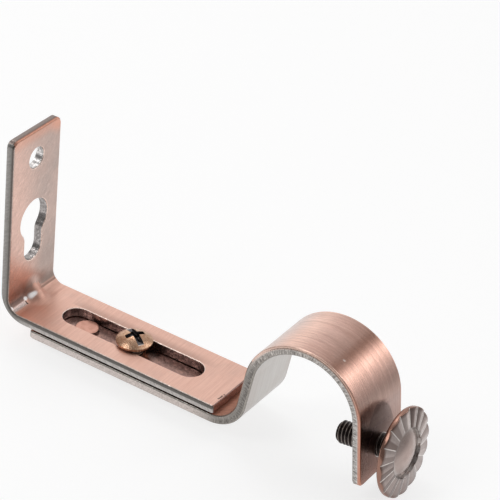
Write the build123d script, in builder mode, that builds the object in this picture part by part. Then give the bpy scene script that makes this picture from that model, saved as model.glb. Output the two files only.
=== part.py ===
from build123d import *
from math import atan2, cos, pi, radians, sin, sqrt, tan
import os

# Adjustable bracket for a 28 mm curtain pole, in copper-plated steel strip.
# A wall bracket is bent from flat strip and has a long slot in its arm.
# The pole hook slides under the arm on a half-pierced guide boss and is held
# by a cross-head clamp screw. A thumb screw in the hook's tab grips the pole.
#
# Frame, in mm: the origin is the centre of the screw hole on the wall face.
# +X leads away from the wall, +Y runs across the strip and along the pole,
# and +Z leads from the arm towards the screw hole. On the wall the bracket is
# turned over, so that the hook opens upwards.

# Strip stock
strip_width = 20.0
sheet_thickness = 2.5
edge_break = 0.4
hole_edge_break = 0.25

# Wall bracket
upright_height = 53.3
upright_corner_radius = 2.0
arm_length = 68.0
arm_corner_radius = 0.6
bend_inside_radius = 3.5
bend_outside_radius = 7.5

# Fixings in the upright, placed from its free end
screw_hole_diameter = 6.0
screw_hole_inset = 8.3
keyhole_head_diameter = 11.3
screw_hole_to_keyhole = 18.4
keyhole_slot_width = 7.2
keyhole_throw = 9.0
keyhole_neck_radius = 3.0

# Slot in the arm, between the bend and the arm's free end
slot_start = 14.1
slot_end_margin = 10.3
slot_width = 7.7

# Stiffening dart pressed into the bend
dart_leg = 6.2
dart_width = 10.0
dart_ridge_radius = 2.4
dart_root_radius = 3.0

# Pole hook
strip_gap = 0.3
hook_end_clearance = 2.0
hook_bend_lead = 1.4
hook_bend_radius = 8.1
riser_lean = 8.5
riser_length = 9.9
pole_diameter = 28.0
pole_clearance = 0.5
tab_length = 17.5
tab_lean = 7.0
hook_corner_radius = 1.5

# Guide boss, half-pierced up out of the hook strip into the slot
boss_inset = 7.2
boss_clearance = 0.6
boss_height = 1.0
boss_edge_radius = 0.4
boss_shear_wall = 0.25

# Clamp screw, M5 with a low domed head that has a slot and a cross recess
boss_to_clamp = 15.1
clamp_thread_diameter = 5.0
clamp_thread_length = 8.0
clamp_lift = 0.5
clamp_head_diameter = 9.8
clamp_head_rim = 0.5
clamp_head_height = 2.4
driver_slot_width = 1.7
driver_slot_depth = 1.2
recess_span = 5.6
recess_width = 1.6
recess_depth = 1.8
recess_taper = 12.0
recess_turn = -29.0

# Thumb screw, M6 stud in a round head with petals
thumb_thread_diameter = 6.0
thumb_hole_inset = 7.3
thumb_standoff = 5.3
thumb_stud_length = 17.0
thumb_stud_seat = 1.5
thumb_head_diameter = 23.5
thumb_rim_thickness = 1.7
thumb_rim_round = 0.7
thumb_face_rise = 0.6
thumb_dome_diameter = 12.2
thumb_dome_crown = 1.4
thumb_moat_width = 0.5
thumb_moat_depth = 0.9
petal_count = 16
petal_bow = 0.5

# Fits
thread_clearance = 0.05
seat_clearance = 0.05
tip_chamfer = 0.5

# Levels and places that follow from the sizes above
upright_top = screw_hole_inset
arm_underside = upright_top - upright_height
arm_top = arm_underside + sheet_thickness
keyhole_head = -screw_hole_to_keyhole
keyhole_slot = keyhole_head - keyhole_throw
slot_length = arm_length - slot_end_margin - slot_start
hook_top = arm_underside - strip_gap
hook_underside = hook_top - sheet_thickness
hook_start = bend_outside_radius + hook_end_clearance
hook_bend_start = arm_length - hook_bend_lead
boss_position = slot_start + boss_inset
boss_diameter = slot_width - 2 * boss_clearance
clamp_position = boss_position + boss_to_clamp
saddle_radius = pole_diameter / 2 + pole_clearance
riser_angle = 90 - riser_lean
tab_angle = 90 - tab_lean


# Wall bracket: a prism along the 45 degree line from upright to arm is the dart
dart_height = dart_leg / sqrt(2)
ridge_middle = (sheet_thickness + dart_leg / 2, 0, arm_top + dart_leg / 2)
ridge_plane = Plane(origin=ridge_middle, x_dir=(0, 1, 0), z_dir=(1, 0, -1))

with BuildPart() as dart:
    with BuildSketch(ridge_plane):
        with BuildLine():
            Polyline((0, 0), (dart_width / 2, -dart_height), (-dart_width / 2, -dart_height), close=True)
        make_face()
        fillet(vertices().sort_by(Axis.Y)[-1], radius=dart_ridge_radius)
    extrude(amount=dart_leg, both=True)
    # Only what stands in the corner is kept, rooted halfway into the sheet
    with BuildSketch(Plane.XZ):
        with Locations((sheet_thickness / 2, arm_underside + sheet_thickness / 2)):
            Rectangle(2 * dart_leg, 2 * dart_leg, align=(Align.MIN, Align.MIN))
    extrude(amount=strip_width / 2, both=True, mode=Mode.INTERSECT)

# The punch leaves the same form on the outside, one sheet thickness behind
dent_plane = Plane(
    origin=ridge_plane.origin - ridge_plane.y_dir * sheet_thickness,
    x_dir=ridge_plane.x_dir,
    z_dir=ridge_plane.z_dir,
)

with BuildPart() as punch_dent:
    with BuildSketch(dent_plane):
        with BuildLine():
            Polyline((0, 0), (dart_width / 2, -dart_height), (-dart_width / 2, -dart_height), close=True)
        make_face()
        fillet(vertices().sort_by(Axis.Y)[-1], radius=dart_ridge_radius)
    extrude(amount=dart_leg, both=True)

with BuildPart() as wall_bracket:
    with BuildSketch(Plane.XZ):
        with BuildLine():
            Polyline(
                (0, arm_underside),
                (arm_length, arm_underside),
                (arm_length, arm_top),
                (sheet_thickness, arm_top),
                (sheet_thickness, upright_top),
                (0, upright_top),
                close=True,
            )
        make_face()
    extrude(amount=strip_width / 2, both=True)
    corners = edges().filter_by(Axis.Y)
    inner_corner = corners.sort_by_distance((sheet_thickness, 0, arm_top))[0]
    outer_corner = corners.sort_by_distance((0, 0, arm_underside))[0]
    fillet(inner_corner, radius=bend_inside_radius)
    fillet(outer_corner, radius=bend_outside_radius)
    # The cut corners of the upright and of the arm
    fillet(faces().sort_by(Axis.Z)[-1].edges().filter_by(Axis.X), radius=upright_corner_radius)
    fillet(faces().sort_by(Axis.X)[-1].edges().filter_by(Axis.Z), radius=arm_corner_radius)
    # Tumbling before plating has broken the strip's edges
    near_side = faces().sort_by(Axis.Y)[0]
    far_side = faces().sort_by(Axis.Y)[-1]
    chamfer(near_side.edges() + far_side.edges(), length=edge_break)
    # The dart, drawn out of the sheet round its root, and the punch's dent behind it
    add(dart.part)
    fillet(edges(Select.NEW), radius=dart_root_radius)
    add(punch_dent.part, mode=Mode.SUBTRACT)
    # Round screw hole
    with BuildSketch(Plane.YZ.offset(sheet_thickness)):
        Circle(screw_hole_diameter / 2)
    extrude(amount=-sheet_thickness, mode=Mode.SUBTRACT)
    rim = edges(Select.LAST).filter_by_position(Axis.X, sheet_thickness, sheet_thickness)
    chamfer(rim, length=hole_edge_break)
    # Keyhole: the head's circle, the narrow slot and a flared neck between them
    with BuildSketch(Plane.YZ.offset(sheet_thickness)):
        with Locations((0, keyhole_head)):
            Circle(keyhole_head_diameter / 2)
        with Locations((0, keyhole_slot)):
            Circle(keyhole_slot_width / 2)
            Rectangle(keyhole_slot_width, keyhole_head - keyhole_slot, align=(Align.CENTER, Align.MIN))
        necks = vertices().filter_by(lambda v: abs(abs(v.X) - keyhole_slot_width / 2) < 0.01)
        fillet(necks.group_by(Axis.Y)[-1], radius=keyhole_neck_radius)
    extrude(amount=-sheet_thickness, mode=Mode.SUBTRACT)
    rim = edges(Select.LAST).filter_by_position(Axis.X, sheet_thickness, sheet_thickness)
    chamfer(rim, length=hole_edge_break)
    # Long slot in the arm
    with BuildSketch(Plane.XY.offset(arm_top)):
        with Locations((slot_start + slot_length / 2, 0)):
            SlotOverall(slot_length, slot_width)
    extrude(amount=-sheet_thickness, mode=Mode.SUBTRACT)
    rim = edges(Select.LAST).filter_by_position(Axis.Z, arm_top, arm_top)
    chamfer(rim, length=hole_edge_break)


# Pole hook: the outline follows the face that meets the pole, then its thickness
with BuildPart() as pole_hook:
    with BuildSketch(Plane.XZ):
        with BuildLine():
            flat = Line((hook_start, hook_underside), (hook_bend_start, hook_underside))
            bend = JernArc(flat @ 1, flat % 1, hook_bend_radius + sheet_thickness, riser_angle)
            riser = Line(bend @ 1, bend @ 1 + (bend % 1) * riser_length)
            saddle = JernArc(riser @ 1, riser % 1, saddle_radius, -riser_angle - tab_angle)
            tab = Line(saddle @ 1, saddle @ 1 + (saddle % 1) * tab_length)
            offset(amount=sheet_thickness, side=Side.LEFT, closed=True)
        make_face()
    extrude(amount=strip_width / 2, both=True)
    # The strip's two ends are cut with round corners, and its edges are broken
    tab_out = Vector(cos(radians(tab_lean)), 0, sin(radians(tab_lean)))
    tab_face = Plane(
        origin=Vector((tab @ 1).X, 0, (tab @ 1).Y) + tab_out * sheet_thickness,
        x_dir=(0, 1, 0),
        z_dir=tab_out,
    )
    inner_end = faces().sort_by(Axis.X)[0]
    tab_end = faces().sort_by(Axis(tab_face.origin, -tab_face.y_dir))[-1]
    end_corners = (inner_end.edges() + tab_end.edges()).filter_by(Axis.Y, reverse=True)
    fillet(end_corners, radius=hook_corner_radius)
    near_side = faces().sort_by(Axis.Y)[0]
    far_side = faces().sort_by(Axis.Y)[-1]
    chamfer(near_side.edges() + far_side.edges(), length=edge_break)
    # Half-pierced guide boss, with the punch's pocket beneath it
    with BuildSketch(Plane.XY.offset(hook_top)):
        with Locations((boss_position, 0)):
            Circle(boss_diameter / 2)
    extrude(amount=boss_height)
    boss_top = hook_top + boss_height
    boss_rim = edges(Select.LAST).filter_by_position(Axis.Z, boss_top, boss_top)
    fillet(boss_rim, radius=boss_edge_radius)
    with BuildSketch(Plane.XY.offset(hook_underside)):
        with Locations((boss_position, 0)):
            Circle(boss_diameter / 2 - boss_shear_wall)
    extrude(amount=boss_height, mode=Mode.SUBTRACT)
    # Tapped holes for the clamp screw and for the thumb screw
    with BuildSketch(Plane.XY.offset(hook_top)):
        with Locations((clamp_position, 0)):
            Circle(clamp_thread_diameter / 2 + thread_clearance)
    extrude(amount=-sheet_thickness, mode=Mode.SUBTRACT)
    with BuildSketch(tab_face):
        with Locations((0, thumb_hole_inset)):
            Circle(thumb_thread_diameter / 2 + thread_clearance)
    extrude(amount=-sheet_thickness, mode=Mode.SUBTRACT)


# Clamp screw: turned blank with a domed head, then the cross recess and the slot
clamp_seat = arm_top + clamp_lift
clamp_tip = clamp_seat - clamp_thread_length

with BuildPart() as clamp_screw:
    with BuildSketch(Plane.XZ):
        with BuildLine():
            shank = Polyline(
                (clamp_position, clamp_seat + clamp_head_height),
                (clamp_position, clamp_tip),
                (clamp_position + clamp_thread_diameter / 2 - tip_chamfer, clamp_tip),
                (clamp_position + clamp_thread_diameter / 2, clamp_tip + tip_chamfer),
                (clamp_position + clamp_thread_diameter / 2, clamp_seat),
                (clamp_position + clamp_head_diameter / 2, clamp_seat),
                (clamp_position + clamp_head_diameter / 2, clamp_seat + clamp_head_rim),
            )
            dome_rise = clamp_head_height - clamp_head_rim
            dome_radius = ((clamp_head_diameter / 2) ** 2 + dome_rise**2) / (2 * dome_rise)
            RadiusArc(shank @ 1, shank @ 0, -dome_radius)
        make_face()
    revolve(axis=Axis((clamp_position, 0, 0), (0, 0, 1)))
    with BuildSketch(Plane.XY.offset(clamp_seat + clamp_head_height)):
        with Locations(Location((clamp_position, 0), recess_turn)):
            Rectangle(recess_span, recess_width)
            Rectangle(recess_width, recess_span)
    extrude(amount=-recess_depth, taper=recess_taper, mode=Mode.SUBTRACT)
    # The slot runs right across, and its level floor comes out on the dome's slope
    with BuildSketch(Plane.XY.offset(clamp_seat + clamp_head_height)):
        with Locations(Location((clamp_position, 0), recess_turn)):
            Rectangle(clamp_head_diameter, driver_slot_width)
    extrude(amount=-driver_slot_depth, mode=Mode.SUBTRACT)


# Thumb screw: everything is measured along its axis from the tab's outer face
thumb_hole = tab_face.origin + tab_face.y_dir * thumb_hole_inset
thumb_plane = Plane(origin=thumb_hole, x_dir=tab_face.x_dir, z_dir=tab_face.z_dir)
head_plane = thumb_plane.offset(thumb_standoff)

with BuildPart() as thumb_screw_stud:
    with BuildSketch(head_plane.offset(thumb_stud_seat)):
        Circle(thumb_thread_diameter / 2)
    extrude(amount=-(thumb_stud_seat + thumb_stud_length))
    chamfer(edges().filter_by(GeomType.CIRCLE).sort_by(Axis.X)[0], length=tip_chamfer)

# Each petal of the head is bowed across its width and slopes down to the rim,
# so that neighbouring petals meet in a valley that deepens outwards
head_radius = thumb_head_diameter / 2
petal_half_width = head_radius * sin(pi / petal_count)
petal_bow_radius = (petal_half_width**2 + petal_bow**2) / (2 * petal_bow)
moat_radius = thumb_dome_diameter / 2 + thumb_moat_width
petal_slope = atan2(thumb_face_rise, head_radius - moat_radius)
petal_top = thumb_rim_thickness + head_radius * tan(petal_slope)
petal_axis = Plane(
    origin=(0, 0, petal_top - petal_bow_radius / cos(petal_slope)),
    x_dir=(0, 1, 0),
    z_dir=(cos(petal_slope), 0, -sin(petal_slope)),
)

with BuildPart() as petal:
    with BuildSketch():
        Circle(head_radius)
        with BuildLine():
            reach = head_radius / cos(pi / petal_count)
            Polyline(
                (0, 0),
                PolarLine((0, 0), reach, 180 / petal_count, mode=Mode.PRIVATE) @ 1,
                PolarLine((0, 0), reach, -180 / petal_count, mode=Mode.PRIVATE) @ 1,
                close=True,
            )
        make_face(mode=Mode.INTERSECT)
        Circle(moat_radius, mode=Mode.SUBTRACT)
    extrude(amount=petal_top)
    with BuildSketch(petal_axis):
        Circle(petal_bow_radius)
    extrude(amount=thumb_head_diameter, mode=Mode.INTERSECT)

# The petals stand round a turned core, which is a sunk floor with a dome on it
moat_floor = thumb_rim_thickness + thumb_face_rise - thumb_moat_depth
dome_radius = thumb_dome_diameter / 2

with BuildPart() as thumb_screw_head:
    with BuildSketch(Plane.XZ):
        with BuildLine():
            core = Polyline(
                (0, moat_floor + thumb_dome_crown),
                (0, 0),
                (moat_radius, 0),
                (moat_radius, moat_floor),
                (dome_radius, moat_floor),
            )
            crown_radius = (dome_radius**2 + thumb_dome_crown**2) / (2 * thumb_dome_crown)
            RadiusArc(core @ 1, core @ 0, -crown_radius)
        make_face()
    revolve(axis=Axis.Z)
    with PolarLocations(0, petal_count):
        add(petal.part)
    # The back of the rim is rounded over
    fillet(faces().sort_by(Axis.Z)[0].outer_wire().edges(), radius=thumb_rim_round)
    # Blind hole that the stud is seated in
    with BuildSketch():
        Circle(thumb_thread_diameter / 2 + seat_clearance)
    extrude(amount=thumb_stud_seat + seat_clearance, mode=Mode.SUBTRACT)
thumb_screw_head.part = head_plane.location * thumb_screw_head.part

wall_bracket.part.label = "wall_bracket"
pole_hook.part.label = "pole_hook"
clamp_screw.part.label = "clamp_screw"
thumb_screw_stud.part.label = "thumb_screw_stud"
thumb_screw_head.part.label = "thumb_screw_head"

os.makedirs("parts", exist_ok=True)
export_step(wall_bracket.part, "parts/wall_bracket.step")
export_step(pole_hook.part, "parts/pole_hook.step")
export_step(clamp_screw.part, "parts/clamp_screw.step")
export_step(thumb_screw_stud.part, "parts/thumb_screw_stud.step")
export_step(thumb_screw_head.part, "parts/thumb_screw_head.step")
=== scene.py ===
# %% [markdown]
# # A curtain pole bracket in antique copper
#
# The object is an adjustable bracket: a bent wall strip, a hook strip that slides under it, a clamp
# screw, and a thumb screw that grips the pole. The solids come from the CAD model, in metres, and they
# fix every size and place. This script gives each piece its finish, and the screws their real threads.
# It reads nothing else from disk, so everything below is made here, step by step.

# %% Load the frame
from math import asin, cos, pi, radians, sin, sqrt, tan

import bmesh
import bpy
import numpy as np
from mathutils import Matrix, Vector


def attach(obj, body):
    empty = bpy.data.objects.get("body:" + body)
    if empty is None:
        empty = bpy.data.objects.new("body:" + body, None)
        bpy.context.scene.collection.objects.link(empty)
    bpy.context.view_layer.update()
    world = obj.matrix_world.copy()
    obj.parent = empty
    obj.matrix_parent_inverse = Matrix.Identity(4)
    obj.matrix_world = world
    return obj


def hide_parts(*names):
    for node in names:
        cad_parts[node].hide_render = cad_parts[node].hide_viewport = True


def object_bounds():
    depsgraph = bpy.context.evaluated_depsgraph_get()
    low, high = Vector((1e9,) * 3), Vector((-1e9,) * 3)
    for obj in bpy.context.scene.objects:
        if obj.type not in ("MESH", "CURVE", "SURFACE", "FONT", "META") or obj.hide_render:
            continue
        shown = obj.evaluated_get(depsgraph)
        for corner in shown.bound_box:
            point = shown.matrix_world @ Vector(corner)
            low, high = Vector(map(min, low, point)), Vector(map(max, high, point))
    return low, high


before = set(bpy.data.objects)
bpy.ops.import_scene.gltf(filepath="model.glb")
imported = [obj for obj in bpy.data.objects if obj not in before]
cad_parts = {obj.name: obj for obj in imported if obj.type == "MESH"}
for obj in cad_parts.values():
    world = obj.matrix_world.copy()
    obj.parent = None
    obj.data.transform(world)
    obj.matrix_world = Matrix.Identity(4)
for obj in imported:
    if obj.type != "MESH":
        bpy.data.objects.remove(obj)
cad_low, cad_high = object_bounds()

print("frame pieces:", sorted(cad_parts))
print("box in mm:", [round(v * 1000, 1) for v in (*cad_low, *cad_high)])

# %% [markdown]
# ## The camera
#
# The view is a long lens from the front right, well above the arm, and the camera leans a little so
# that the strip climbs across the picture. A lens can be aimed with a Track To constraint, but that
# always keeps the camera upright. Here the three axes of the camera are written as a matrix, which
# keeps the lean.

# %% Camera
def add_object(name, data):
    made = bpy.data.objects.new(name, data)
    bpy.context.scene.collection.objects.link(made)
    return made


camera_right = Vector((0.83280955, 0.54680653, 0.08620255))
camera_up = Vector((-0.35747, 0.41234, 0.83797))
camera_back = camera_right.cross(camera_up)

# Fitted to points that were measured in the picture.
camera_place = (0.321231, -0.436291, 0.322395)
lens_mm, sensor_mm = 175.65, 36.0

camera = add_object("camera", bpy.data.cameras.new("camera"))
camera_turn = Matrix((camera_right, camera_up, camera_back)).transposed().to_4x4()
camera.matrix_world = Matrix.Translation(camera_place) @ camera_turn
camera.data.lens = lens_mm
camera.data.sensor_width = sensor_mm
camera.data.clip_start = 0.05
camera.data.clip_end = 20.0
bpy.context.scene.camera = camera
bpy.context.scene.view_settings.view_transform = "Standard"
print("camera looks along", tuple(round(-v, 3) for v in camera_back))

# %% [markdown]
# ## A helper for nodes
#
# Every material here is a node tree. Written out in full, a node takes four or five lines: make it,
# set its options, set its inputs, link it. One small function does all of that, so that a line of the
# script reads like one node on the screen. The short ones after it say what a few nodes do together:
# they multiply or add, fade a mask in or out, or lay a colour over another where a mask is light. They
# need no tree, because every socket knows the tree it belongs to.

# %% Node helpers
def node(tree, kind, inputs=None, **settings):
    made = tree.nodes.new(kind)
    for name, value in settings.items():
        setattr(made, name, value)
    for name, value in (inputs or {}).items():
        link(value, made.inputs[name])
    return made


def linked(kind, inputs, **settings):
    """A node in the tree that the first socket among its inputs belongs to."""
    tree = next(value.id_data for value in inputs.values() if isinstance(value, bpy.types.NodeSocket))
    return node(tree, kind, inputs, **settings)


def link(value, socket):
    """Links a value into a socket, or just sets it where the value is a number."""
    if isinstance(value, bpy.types.NodeSocket):
        socket.id_data.links.new(value, socket)
    else:
        socket.default_value = value


def calc(operation, a, b=0.0, clamp=False):
    return linked("ShaderNodeMath", {0: a, 1: b}, operation=operation, use_clamp=clamp).outputs[0]


def times(value, *others):
    for other in others:
        value = calc("MULTIPLY", value, other)
    return value


def plus(value, *others):
    for other in others:
        value = calc("ADD", value, other)
    return value


def minus(value, taken):
    return calc("SUBTRACT", value, taken)


def inverse(value):
    """1 where value is 0, and 0 where it is 1."""
    return minus(1.0, value)


def scaled(value, factor, offset):
    return plus(times(value, factor), offset)


def xyz(x=0.0, y=0.0, z=0.0):
    return linked("ShaderNodeCombineXYZ", {"X": x, "Y": y, "Z": z}).outputs[0]


def noise(place, scale, detail, roughness=0.5):
    """A soft random pattern. With more detail and roughness it gets sharper."""
    inputs = {"Vector": place, "Scale": scale, "Detail": detail, "Roughness": roughness}
    return linked("ShaderNodeTexNoise", inputs).outputs[0]


def fade(value, start, end):
    """0 before start, 1 after end, and a soft step in between."""
    inputs = {"Value": value, "From Min": start, "From Max": end}
    return linked("ShaderNodeMapRange", inputs, interpolation_type="SMOOTHSTEP").outputs["Result"]


def fade_out(value, start, end):
    """1 before start, 0 after end, and a soft step in between."""
    return inverse(fade(value, start, end))


def band(value, start, full, last, end):
    """0 before start, 1 from full to last, and 0 again after end."""
    return minus(fade(value, start, full), fade(value, last, end))


def away_from(parts, place):
    """How far a point is from place, which is (along, across) on a strip, in mm."""
    apart = xyz(minus(parts["X"], place[0]), minus(parts["Y"], place[1]))
    return linked("ShaderNodeVectorMath", {0: apart}, operation="LENGTH").outputs["Value"]


def round_spot(parts, place, radius):
    """1 in a round spot with a soft rim."""
    return fade_out(away_from(parts, place), 0.2 * radius, radius)


def small_patch(parts, place, long_side, wide_side):
    """1 in a small patch round place, which is (along, across) on the strip, in mm."""
    away_x = calc("ABSOLUTE", minus(parts["X"], place[0]))
    away_y = calc("ABSOLUTE", minus(parts["Y"], place[1]))
    short = fade_out(away_x, 0.5 * long_side, long_side)
    narrow = fade_out(away_y, 0.4 * wide_side, wide_side)
    return times(short, narrow)


def as_colour(value):
    """Three numbers are a colour as a screen shows it, 0 to 255. Nodes take its linear values instead."""
    if isinstance(value, tuple) and len(value) == 3:
        linear = [((c / 255 + 0.055) / 1.055) ** 2.4 if c > 10 else c / 255 / 12.92 for c in value]
        return (*linear, 1.0)
    return value


def blend_colour(share, first, second):
    inputs = {0: share, 6: as_colour(first), 7: as_colour(second)}
    return linked("ShaderNodeMix", inputs, data_type="RGBA").outputs[2]


def tint(colour, mask, share, new):
    """Lays the new colour over the old one: all of share where the mask is 1, and nothing where it is 0."""
    return blend_colour(times(mask, share), colour, new)


def ramp(value, stops, mode="EASE"):
    """A colour ramp whose stops are (place, colour), with the places in the units of value."""
    low, high = stops[0][0], stops[-1][0]
    share = linked("ShaderNodeMapRange", {"Value": value, "From Min": low, "From Max": high})
    made = linked("ShaderNodeValToRGB", {"Fac": share.outputs["Result"]})
    made.color_ramp.interpolation = mode
    elements = made.color_ramp.elements
    elements.remove(elements[1])
    elements[0].position, elements[0].color = 0.0, as_colour(stops[0][1])
    for place, colour in stops[1:]:
        elements.new((place - low) / (high - low)).color = as_colour(colour)
    return made.outputs["Color"]


print("helpers ready")

# %% [markdown]
# ## The studio
#
# A bright metal shows little of its own: what is seen on it is the room. So the room is built first.
# The world stands for a backdrop in upright strips: light at the left, calm in the middle, then a
# narrow black flag with a bright strip light beside it, and dim at the far right. The flag and the
# light draw the dark and the bright band over the hook. A white floor lies just under the lowest
# point. The background of the picture is white because the floor and the world are white where the
# camera sees them, and that neither gives light to the object nor takes it away. The metal mirrors the
# floor a little darker, and darker still past the hook, where the sheet of paper would end.

# %% World
def empty_tree(owner):
    """Switches nodes on for a world or a material, and takes out the ones it comes with."""
    owner.use_nodes = True
    owner.node_tree.nodes.clear()
    return owner.node_tree


white = (1.0, 1.0, 1.0, 1.0)
floor_gap = 0.0004
floor_level = cad_low.z - floor_gap

world = bpy.data.worlds.new("studio")
bpy.context.scene.world = world
tree = empty_tree(world)
path = node(tree, "ShaderNodeLightPath")
direction = node(tree, "ShaderNodeTexCoord").outputs["Generated"]
towards = node(tree, "ShaderNodeSeparateXYZ", {0: direction}).outputs
# How far to the right a strip of the room is, from -1 to 1, and how bright it is.
strips = [
    (-1.0, 0.80), (-0.62, 1.08), (-0.50, 0.92), (-0.36, 0.78), (0.00, 0.70), (0.10, 0.60), (0.19, 0.26),
    (0.27, 0.42), (0.36, 1.00), (0.50, 2.00), (0.58, 1.30), (0.67, 0.50), (1.0, 0.40),
]
# The ramp holds half of each level, because its colours end at 1.
halved = [(place, (level / 2, level / 2, level / 2, 1)) for place, level in strips]
backdrop = times(ramp(towards["X"], halved), 2.0)
camera_side_level = 0.25
behind = fade(towards["Y"], -0.35, 0.35)
level = plus(camera_side_level, times(behind, minus(backdrop, camera_side_level)))
room_light = node(tree, "ShaderNodeCombineColor", {"Red": level, "Green": level, "Blue": level}).outputs[0]
seen = blend_colour(path.outputs["Is Camera Ray"], room_light, white)
background = node(tree, "ShaderNodeBackground", {"Color": seen, "Strength": 1.0})
node(tree, "ShaderNodeOutputWorld", {"Surface": background.outputs[0]})
print("world made")

# %% Floor
floor_mesh = bpy.data.meshes.new("floor")
reach = 3.0
corners = ((-reach, -reach), (reach, -reach), (reach, reach), (-reach, reach))
floor_mesh.from_pydata([(x, y, floor_level) for x, y in corners], [], [(0, 1, 2, 3)])
floor = add_object("floor", floor_mesh)

paper = bpy.data.materials.new("white_floor")
tree = empty_tree(paper)
path = node(tree, "ShaderNodeLightPath")
to_camera = times(path.outputs["Is Camera Ray"], 0.72)
floor_place = node(tree, "ShaderNodeTexCoord").outputs["Object"]
across_floor = node(tree, "ShaderNodeSeparateXYZ", {0: floor_place}).outputs
paper_end = inverse(times(fade(across_floor["X"], 0.12, 0.19), 0.72))
to_metal = times(path.outputs["Is Glossy Ray"], paper_end, 0.68)
card = node(
    tree,
    "ShaderNodeBsdfPrincipled",
    {
        "Base Color": (0.36, 0.36, 0.36, 1),
        "Roughness": 0.8,
        "Specular IOR Level": 0.2,
        "Emission Color": white,
        "Emission Strength": plus(to_camera, to_metal),
    },
)
node(tree, "ShaderNodeOutputMaterial", {"Surface": card.outputs[0]})
floor_mesh.materials.append(paper)
print("floor at", round(floor_level * 1000, 2), "mm")

# %% [markdown]
# Two soft lamps hang over the object. The one on the camera's side draws the thin bright line along
# every broken edge that faces the camera, and the one behind lifts the tops. They are area lamps,
# hidden from the camera.

# %% Lamps
object_middle = Vector((0.06, 0.0, -0.025))


def softbox(name, towards, distance, width, depth, brightness):
    """An area lamp that faces the object. Its brightness is what a mirror would show: 1 is white."""
    lamp = bpy.data.lights.new(name, "AREA")
    lamp.shape = "RECTANGLE"
    lamp.size, lamp.size_y = width, depth
    lamp.energy = brightness * pi * width * depth
    holder = add_object(name, lamp)
    away = Vector(towards).normalized()
    holder.location = object_middle + away * distance
    holder.rotation_mode = "QUATERNION"
    holder.rotation_quaternion = away.to_track_quat("Z", "Y")
    holder.visible_camera = False
    return holder


softbox("front_top", (-0.40, -0.50, 0.77), 0.9, 0.40, 0.40, 2.4)
softbox("back_top", (-0.42, 0.36, 0.84), 0.9, 0.30, 0.22, 2.0)
print("lamps:", [lamp.name for lamp in bpy.data.lights])

# %% [markdown]
# ## Coordinates that follow the strip
#
# The brush lines on the real strip were made while it was still flat, before it was bent. They run
# along it, across it or at a slant, and they follow every bend. A pattern on plain object coordinates
# would cut through the bends instead. So each point of a strip gets three numbers of its own: how far
# along the strip it is, how far across, and how deep in the sheet. They are stored as an attribute
# named "own", in millimetres, and the materials read that.

# %% Strip coordinates
def walk(start, heading, pieces):
    """Points every 0.1 mm along straights ("go", length) and arcs ("turn", radius, degrees), in x and z."""
    here, angle, rows, gone = np.array(start, float), heading, [], 0.0
    for piece in pieces:
        radius = piece[1] if piece[0] == "turn" else 0.0
        sweep = radians(piece[2]) if piece[0] == "turn" else 0.0
        length = abs(radius * sweep) if piece[0] == "turn" else piece[1]
        steps = max(2, int(length / 0.1))
        for step in range(steps):
            middle = angle + sweep / steps / 2
            rows.append((gone, *here, cos(angle), sin(angle)))
            here = here + np.array((cos(middle), sin(middle))) * length / steps
            angle += sweep / steps
            gone += length / steps
    rows.append((gone, *here, cos(angle), sin(angle)))
    return np.array(rows)


def strip_coordinates(points, route):
    """For points in mm: how far along the route, how far across, and how far to the left of it."""
    flat = points[:, [0, 2]]
    nearest = np.empty(len(points), int)
    for first in range(0, len(points), 500):
        gap = flat[first : first + 500, None, :] - route[None, :, 1:3]
        nearest[first : first + 500] = (gap**2).sum(2).argmin(1)
    row = route[nearest]
    gap = flat - row[:, 1:3]
    along = row[:, 0] + gap[:, 0] * row[:, 3] + gap[:, 1] * row[:, 4]
    depth = gap[:, 1] * row[:, 3] - gap[:, 0] * row[:, 4]
    return np.column_stack((along, points[:, 1], depth))


# All in mm, from the CAD model.
upright_top = 8.3
arm_top = -42.5
sheet = 2.5
chamfer = 0.4
half_width = 10.0
arm_length = 68.0
bend_inside = 3.5
bracket_route = walk(
    (sheet, upright_top),
    -pi / 2,
    [
        ("go", upright_top - arm_top - bend_inside),
        ("turn", bend_inside, 90),
        ("go", arm_length - sheet - bend_inside),
    ],
)

hook_underside = -47.8
hook_start = 9.5
hook_bend_start = 66.6
saddle_radius = 14.5
riser_angle = 81.5
tab_angle = 83.0
boss_place, clamp_place = 21.3, 36.4
hook_route = walk(
    (hook_start, hook_underside),
    0.0,
    [
        ("go", hook_bend_start - hook_start),
        ("turn", 10.6, riser_angle),
        ("go", 9.9),
        ("turn", saddle_radius, -riser_angle - tab_angle),
        ("go", 17.5),
    ],
)
print("bracket strip", round(bracket_route[-1, 0], 1), "mm, hook strip", round(hook_route[-1, 0], 1), "mm long")

# %% [markdown]
# ## Pieces from the CAD solids
#
# The two strips have the right shape already, so their pieces are copies of the solids. A CAD mesh is
# loose triangles, and a copy of it is merged first. The CAD mesh knows the true normal of its surface
# at every corner, and these are kept, so that bends and holes stay perfectly smooth. Only the narrow
# chamfers change: each of their corners takes the normal of the broad face it touches, so the shading
# runs round the edge like that of a tumbled part.

# %% Copy a solid
def copy_solid(node_name, piece_name):
    """A merged copy of a CAD mesh, and the CAD's own normal for each of its face corners."""
    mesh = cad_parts[node_name].data.copy()
    true_normals = np.empty(len(mesh.loops) * 3)
    mesh.corner_normals.foreach_get("vector", true_normals)
    mesh.name = piece_name
    mesh.materials.clear()
    work = bmesh.new()
    work.from_mesh(mesh)
    bmesh.ops.remove_doubles(work, verts=work.verts, dist=1e-6)
    for face in work.faces:
        face.smooth = True
    work.to_mesh(mesh)
    work.free()
    return add_object(piece_name, mesh), true_normals.reshape(-1, 3)


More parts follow.
